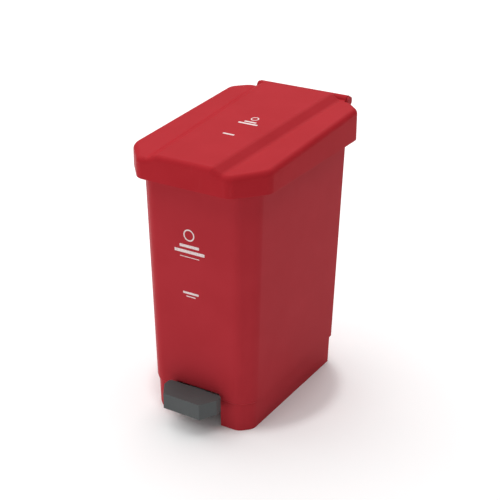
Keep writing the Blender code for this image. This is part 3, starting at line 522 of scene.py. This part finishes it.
# The open skin is rounded over, given its wall and notched for the rod.
shape = bmesh.from_edit_mesh(lid.data)
layer = shape.edges.layers.float.new("bevel_weight_edge")
for edge in shape.edges:
    edge[layer] = rounding_of(edge)
bmesh.update_edit_mesh(lid.data)
bpy.ops.object.mode_set(mode="OBJECT")
modified(
    lid, "BEVEL", limit_method="WEIGHT", width=LID_EDGE, segments=LID_SEGMENTS,
    use_clamp_overlap=False,
)
modified(lid, "SOLIDIFY", thickness=LID_WALL, offset=-1.0, use_even_offset=True)
rod_notch = block(
    "rod_notch",
    (-ROD_NOTCH_HALF, LID_REAR - LID_WALL - ROD_NOTCH_PAST[0], ROD_NOTCH_HEIGHTS[0]),
    (ROD_NOTCH_HALF, LID_REAR + ROD_NOTCH_PAST[1], ROD_NOTCH_HEIGHTS[1]),
)
cut_away(lid, rod_notch)
round_edges(lid, SKIRT_EDGE, LID_ROUNDED_ABOVE, segments=2)

# The knuckles that turn on the hinge pin stand behind the skirt.
knuckles = copy_of("lid", "lid_knuckles")
bpy.ops.mesh.select_all(action="SELECT")
bpy.ops.mesh.bisect(
    plane_co=(0.0, LID_REAR - NEAR, 0.0), plane_no=(0.0, -1.0, 0.0),
    use_fill=False, clear_outer=True,
)
pick_faces(lambda face: face.calc_center_median().y < LID_REAR + KNUCKLE_FACE)
bpy.ops.mesh.delete(type="FACE")
pick_points(lambda co: co.y < LID_REAR)
bpy.ops.transform.translate(value=(0.0, -KNUCKLE_ROOT, 0.0))
bpy.ops.object.mode_set(mode="OBJECT")
round_edges(knuckles, KNUCKLE_EDGE, LID_ROUNDED_ABOVE, segments=2)

# Ribs inside the skirt rest on the casing's rim.
ribs = []
for side in (-1, 1):
    for y in SIDE_RIB_PLACES:
        ends = sorted((side * SIDE_RIB_INNER, side * (half_width - LID_WALL / 2)))
        ribs.append(block(
            "rib",
            (ends[0], y - RIB_THICKNESS / 2, RIM_HEIGHT),
            (ends[1], y + RIB_THICKNESS / 2, RIB_TOP),
        ))
    x = side * RIDGE_TOP[0]
    ribs.append(block(
        "rib",
        (x - RIB_THICKNESS / 2, LID_FRONT + LID_WALL / 2, RIM_HEIGHT),
        (x + RIB_THICKNESS / 2, LID_FRONT + FRONT_RIB_REACH, RIB_TOP),
    ))

# A lug with a sloping slot takes the push rod's hook.
lug_y, lug_z = LUG_CENTRE
lug_front = lug_y - LUG_SLOT_RADIUS - LUG_EDGE
lug_foot = lug_z - LUG_SLOT_RADIUS - LUG_EDGE
lug = block(
    "lug",
    (-LUG_HALF, lug_front, lug_foot),
    (LUG_HALF, LID_REAR - LID_WALL / 2, LUG_TOP),
)
bpy.ops.mesh.select_all(action="SELECT")
bpy.ops.mesh.bisect(
    plane_co=(0.0, lug_y + LUG_SLOT_RADIUS, lug_foot), plane_no=LUG_UNDERSIDE,
    use_fill=True, clear_outer=True,
)
let_go()
bpy.ops.mesh.primitive_cylinder_add(
    vertices=32, radius=LUG_SLOT_RADIUS, depth=0.02,
    location=(0.0, lug_y, lug_z), rotation=(0.0, math.pi / 2, 0.0),
)
slot_cutter = bpy.context.object
bpy.ops.object.transform_apply(location=True, rotation=True, scale=True)
bpy.ops.object.mode_set(mode="EDIT")
pick_points(lambda co: (
    (co.y - lug_y) * LUG_SLOT_RUN[0] + (co.z - lug_z) * LUG_SLOT_RUN[1] > 0
))
bpy.ops.transform.translate(value=(0.0, *LUG_SLOT_RUN))
cut_away(lug, slot_cutter)
round_edges(lug, LUG_ROUNDING, LID_ROUNDED_ABOVE, segments=2)
join_into(lid, knuckles, lug, *ribs)
close_piece(lid, LID_MOULDING, "lid", "lid")


# ---------------------------------------------------------- white prints
# Plain shapes are pad-printed in thin white ink: a ring over two bars and a
# fine line on the casing's front, with two short bars below, and the same
# smaller on the lid. They name no maker and carry no lettering.
INK = (0.86, 0.74, 0.73)
INK_THIN = (0.72, 0.50, 0.50)
INK_THICKNESS = 0.00010
THIN_INK_PATCH = 0.0025
THIN_INK_BAND = (0.50, 0.72)
INK_GRAIN = 0.0008
INK_GRAIN_DEPTH = 0.00002
BAR_CORNER = 0.0009

# A ring is its radius and its line's width. A bar is its middle, across and up
# from the ring's middle, and then its width and its height.
FRONT_RING = (0.0092, 0.0020)
FRONT_BARS = (
    (0.0, -0.0176, 0.0330, 0.0044),
    (0.0, -0.0262, 0.0510, 0.0048),
    (0.0, -0.0345, 0.0330, 0.0011),
    (0.0, -0.0925, 0.0270, 0.0034),
    (0.0, -0.0980, 0.0160, 0.0016),
)
LID_RING = (0.0062, 0.0016)
LID_BARS = (
    (0.0, -0.0130, 0.0200, 0.0036),
    (0.0, -0.0200, 0.0320, 0.0040),
    (-0.0045, -0.0650, 0.0190, 0.0036),
)

# Where each ring's middle is, and a second place that gives the surface's lean.
FRONT_PRINT_SIDE = -0.0069
FRONT_PRINT_HEIGHT = 0.3050
FRONT_LEAN_HEIGHT = 0.15
BEFORE_FRONT = -0.3
LID_PRINT_PLACE = (0.0090, 0.0120)
LID_LEAN_RUN = 0.08
ABOVE_LID = 0.6


def white_ink(name):
    """Pad-printing ink: chalky, with thin patches that let the red through."""
    made = Finish(name)
    place = made.place()
    thin = made.band(made.noise(place, THIN_INK_PATCH, detail=3.0), *THIN_INK_BAND)
    made.set(
        Base_Color=made.mixed(thin, INK, INK_THIN),
        Roughness=0.50 + thin * 0.12,
        Normal=made.bumped(made.noise(place, INK_GRAIN), INK_GRAIN_DEPTH, 0.4),
    )
    return made.material


def printed(name, ring, bars, body, place, turn):
    """A ring and bars drawn flat, given the ink's thickness, then laid on a surface."""
    let_go()
    bpy.ops.mesh.primitive_circle_add(vertices=48, radius=ring[0], fill_type="NGON")
    made = bpy.context.object
    made.name = name
    bpy.ops.object.mode_set(mode="EDIT")
    bpy.ops.mesh.select_all(action="SELECT")
    bpy.ops.mesh.inset(thickness=ring[1])
    bpy.ops.mesh.delete(type="FACE")
    for across, up, width, height in bars:
        bpy.ops.mesh.select_all(action="DESELECT")
        bpy.ops.mesh.primitive_plane_add(size=1.0, location=(across, up, 0.0))
        bpy.ops.transform.resize(value=(width, height, 1.0), center_override=(across, up, 0.0))
        bpy.ops.mesh.bevel(offset=min(BAR_CORNER, height * 0.4), segments=4, affect="VERTICES")
    bpy.ops.object.mode_set(mode="OBJECT")
    modified(made, "SOLIDIFY", thickness=INK_THICKNESS, offset=1.0)
    made.rotation_euler = (turn, 0.0, 0.0)
    made.location = place
    bpy.ops.object.transform_apply(location=True, rotation=True, scale=True)
    coat(made, WHITE_INK)
    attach(made, body)


def surface_under(piece, start, direction):
    """Where a straight line from the start first meets the piece."""
    return piece.ray_cast(Vector(start), Vector(direction))[1]


WHITE_INK = white_ink("white_print_ink")

front_low, front_high = (
    surface_under(casing, (FRONT_PRINT_SIDE, BEFORE_FRONT, height), (0.0, 1.0, 0.0))
    for height in (FRONT_LEAN_HEIGHT, FRONT_PRINT_HEIGHT)
)
front_lean = math.atan2(front_high.y - front_low.y, front_high.z - front_low.z)
front_turn = math.pi / 2 - front_lean
printed("front_print", FRONT_RING, FRONT_BARS, "casing", front_high, front_turn)

across, along = LID_PRINT_PLACE
roof_low, roof_high = (
    surface_under(lid, (across, y, ABOVE_LID), (0.0, 0.0, -1.0))
    for y in (along - LID_LEAN_RUN, along)
)
roof_rise = math.atan2(roof_high.z - roof_low.z, roof_high.y - roof_low.y)
printed("lid_print", LID_RING, LID_BARS, "lid", roof_high, roof_rise)


# ----------------------------------------------------------------- pedal
# The pad is moulded in dark grey polypropylene with a matt, slightly dusty
# top that shoes scuff, and rounded edges. It is screwed up from below to the
# lever arm, which is moulded in the same grey.
PAD_EDGE = 0.0018
GREY = (0.094, 0.103, 0.104)
GREY_DEEP = (0.080, 0.088, 0.089)
GREY_WORN = (0.17, 0.17, 0.165)

PEDAL_GREY = moulded_plastic(
    "pedal_grey_plastic", GREY, GREY_DEEP, GREY_WORN, roughness=0.56, wear=0.9, gloss=0.30,
)

pad = copy_of("pedal_pad", "pedal_pad_shell")
bpy.ops.object.mode_set(mode="OBJECT")
round_edges(pad, PAD_EDGE, ROUNDED_ABOVE, segments=4)
close_piece(pad, PEDAL_GREY, "pedal", "pedal_pad")
coat(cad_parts["pedal_arm"], PEDAL_GREY)


# ------------------------------------------- hinge brackets and rod cover
# Two red brackets carry the hinge pin behind the skirt, and a red channel
# closes off the push rod. All are moulded in the casing's own plastic.
SMALL_EDGE = 0.0006
FINE_EDGE = 0.0004
SMALL_ROUNDED_ABOVE = 35.0


def softened(node, edge, material, body):
    """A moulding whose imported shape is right, with its edges rounded."""
    made = copy_of(node, node + "_moulding")
    bpy.ops.object.mode_set(mode="OBJECT")
    round_edges(made, edge, SMALL_ROUNDED_ABOVE, segments=2)
    close_piece(made, material, body, node)


for node in ("hinge_bracket_left", "hinge_bracket_right", "rod_cover"):
    softened(node, SMALL_EDGE, RED_MOULDING, "casing")
for node in ("hinge_cap_left", "hinge_cap_right"):
    softened(node, FINE_EDGE, RED_MOULDING, "casing")


# ---------------------------------------------------------- inner bucket
# The lift-out bucket, its grip, the rod guides and the axle blocks are
# moulded in black polypropylene with a satin skin.
BLACK = (0.020, 0.020, 0.021)
BLACK_DEEP = (0.014, 0.014, 0.015)
BLACK_WORN = (0.09, 0.09, 0.09)

BLACK_MOULDING = moulded_plastic(
    "black_plastic", BLACK, BLACK_DEEP, BLACK_WORN, roughness=0.48, wear=0.5, gloss=0.40,
)

softened("inner_bucket", SMALL_EDGE, BLACK_MOULDING, "inner_bucket")
softened("bail_grip", SMALL_EDGE, BLACK_MOULDING, "bail")
for node in ("rod_guide_lower", "rod_guide_upper", "axle_block_left", "axle_block_right"):
    softened(node, FINE_EDGE, BLACK_MOULDING, "casing")


# ------------------------------------------------------------- steelwork
# The push rod, the bucket's bail, the pins and the clips are steel wire and
# bar, bent and cut to length, with a bright zinc plating that is clouded where
# it is thicker.
ZINC = (0.62, 0.63, 0.65)
ZINC_CLOUDED = (0.46, 0.47, 0.50)
ZINC_CLOUD = 0.006
ZINC_BAND = (0.35, 0.65)
DRAWN_LINE = 0.0006
DRAWN_STRETCH = (1.0, 1.0, 0.05)
DRAWN_DEPTH = 0.00002


def zinc_plate(name):
    """Bright metal, a little rougher in its clouds, with fine lines drawn along it."""
    made = Finish(name)
    place = made.place()
    cloud = made.noise(place, ZINC_CLOUD, detail=4.0)
    drawn = made.noise(made.stretched(place, DRAWN_STRETCH), DRAWN_LINE, detail=2.0)
    made.set(
        Base_Color=made.mixed(made.band(cloud, *ZINC_BAND), ZINC_CLOUDED, ZINC),
        Roughness=0.24 + cloud * 0.16,
        Metallic=1.0,
        Normal=made.bumped(drawn, DRAWN_DEPTH, 0.4),
    )
    return made.material


ZINC_PLATE = zinc_plate("bright_zinc_plate")
for node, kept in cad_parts.items():
    if "clip" in node or node in ("push_rod", "bucket_bail", "hinge_pin", "pedal_axle"):
        coat(kept, ZINC_PLATE)


# ---------------------------------------------------------------- screws
# The pan-head screws are cold-headed steel with the same plating and a cross
# recess. One screw of each set is modelled, and the rest of the set are copies
# of it: the heads of the rear ones face back, and the others face down.
RECESS_SPAN = 0.0040
RECESS_WIDTH = 0.0009
RECESS_DEPTH = 0.0013
SCREW_EDGE = 0.0003
SCREW_ROUNDED_ABOVE = 40.0

# Each set: its name, how many, the body it rides, and the axis its heads face.
SCREW_SETS = (
    ("bracket_screw", 4, "casing", "y"),
    ("cover_screw", 4, "casing", "y"),
    ("block_screw", 4, "casing", "z"),
    ("pad_screw", 2, "pedal", "z"),
)


def middle_of_box(node):
    low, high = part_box(node)
    return (low + high) / 2


for family, count, body, faces in SCREW_SETS:
    first = family + "_1"
    low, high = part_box(first)
    head = middle_of_box(first)
    if faces == "y":
        head.y = high.y
    else:
        head.z = low.z
    screw = copy_of(first, first + "_steel")
    bpy.ops.object.mode_set(mode="OBJECT")
    round_edges(screw, SCREW_EDGE, SCREW_ROUNDED_ABOVE, segments=2)
    for across in (RECESS_SPAN, RECESS_WIDTH):
        along = RECESS_SPAN + RECESS_WIDTH - across
        if faces == "y":
            half_slot = Vector((across, 2 * RECESS_DEPTH, along)) / 2
        else:
            half_slot = Vector((across, along, 2 * RECESS_DEPTH)) / 2
        cut_away(screw, block("recess", head - half_slot, head + half_slot))
    screw.select_set(True)
    close_piece(screw, ZINC_PLATE, body, first)
    for number in range(2, count + 1):
        node = f"{family}_{number}"
        twin = bpy.data.objects.new(node + "_steel", screw.data.copy())
        bpy.context.scene.collection.objects.link(twin)
        shift = middle_of_box(node) - middle_of_box(first)
        for point in twin.data.vertices:
            point.co += shift
        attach(twin, body)
        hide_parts(node)


# ---------------------------------------------------------------- studio
# The bin stands on a broad sheet of matt white paper. Beyond the bin the paper
# has a painted glow, so that it fades out to white and the edge of the bin's
# shadow on it is lightened. A wide soft light hangs overhead, and a small one at
# the left lifts the casing's side.
FLOOR_SIZE = 30.0
FLOOR_COLOUR = (0.90, 0.90, 0.90)
FLOOR_CLOUD = (0.91, 0.91, 0.91)
FLOOR_CLOUD_SIZE = 0.6
BLACKOUT = (0.0, 0.0, 0.0)
WHITE = (1.0, 1.0, 1.0)
# Painted light on the floor: the distances from the bin over which its glow fades in, and how
# strongly it glows.
PAINTED_GLOW_FROM = (0.135, 0.165)
PAINTED_GLOW_STRENGTH = 0.20
AIR_GLOW = 0.15
CAMERA_PLACE = (0.8656, -1.4054, 0.9979)
CAMERA_TURN = (math.radians(65.0), 0.0, math.radians(31.4))
CAMERA_LENS = 86.2
SENSOR_WIDTH = 36.0

# Each light: its place, its width and height, and its power in watts.
LIGHTS = {
    "overhead": ((-1.0, 0.8, 4.0), (8.0, 8.0), 350.0),
    "left": ((-0.9, -2.2, 0.6), (1.4, 1.8), 9.5),
}
LIT_PLACE = Vector((0.0, 0.0, 0.25))

bpy.context.scene.view_settings.view_transform = "Standard"
bpy.ops.object.select_all(action="DESELECT")
bpy.ops.mesh.primitive_plane_add(size=FLOOR_SIZE, location=(0.0, 0.0, 0.0))
floor = bpy.context.object
floor.name = "studio_floor"
paper = Finish("studio_paper")
from_bin = paper.add("ShaderNodeVectorMath", {"operation": "LENGTH"}, {0: paper.place()}, "Value")
paper.set(
    Base_Color=paper.mixed(
        paper.noise(paper.place(), FLOOR_CLOUD_SIZE), FLOOR_COLOUR, FLOOR_CLOUD,
    ),
    Roughness=0.9,
    # The floor's painted glow: none under the bin, full glow beyond it.
    Emission_Color=paper.mixed(paper.band(from_bin, *PAINTED_GLOW_FROM), BLACKOUT, WHITE),
    Emission_Strength=PAINTED_GLOW_STRENGTH,
)
floor.data.materials.append(paper.material)

air = bpy.data.worlds.new("studio_air")
air.use_nodes = True
air.node_tree.nodes["Background"].inputs["Color"].default_value = (*WHITE, 1.0)
air.node_tree.nodes["Background"].inputs["Strength"].default_value = AIR_GLOW
bpy.context.scene.world = air

for name, (place, size, power) in LIGHTS.items():
    lamp = bpy.data.lights.new(name, "AREA")
    lamp.shape = "RECTANGLE"
    lamp.size, lamp.size_y = size
    lamp.energy = power
    stand = bpy.data.objects.new(name, lamp)
    stand.location = place
    aim = LIT_PLACE - Vector(place)
    stand.rotation_euler = aim.to_track_quat("-Z", "Y").to_euler()
    bpy.context.scene.collection.objects.link(stand)

eye = bpy.data.cameras.new("camera")
eye.lens = CAMERA_LENS
eye.sensor_width = SENSOR_WIDTH
camera = bpy.data.objects.new("camera", eye)
camera.location = CAMERA_PLACE
camera.rotation_euler = CAMERA_TURN
bpy.context.scene.collection.objects.link(camera)
bpy.context.scene.camera = camera
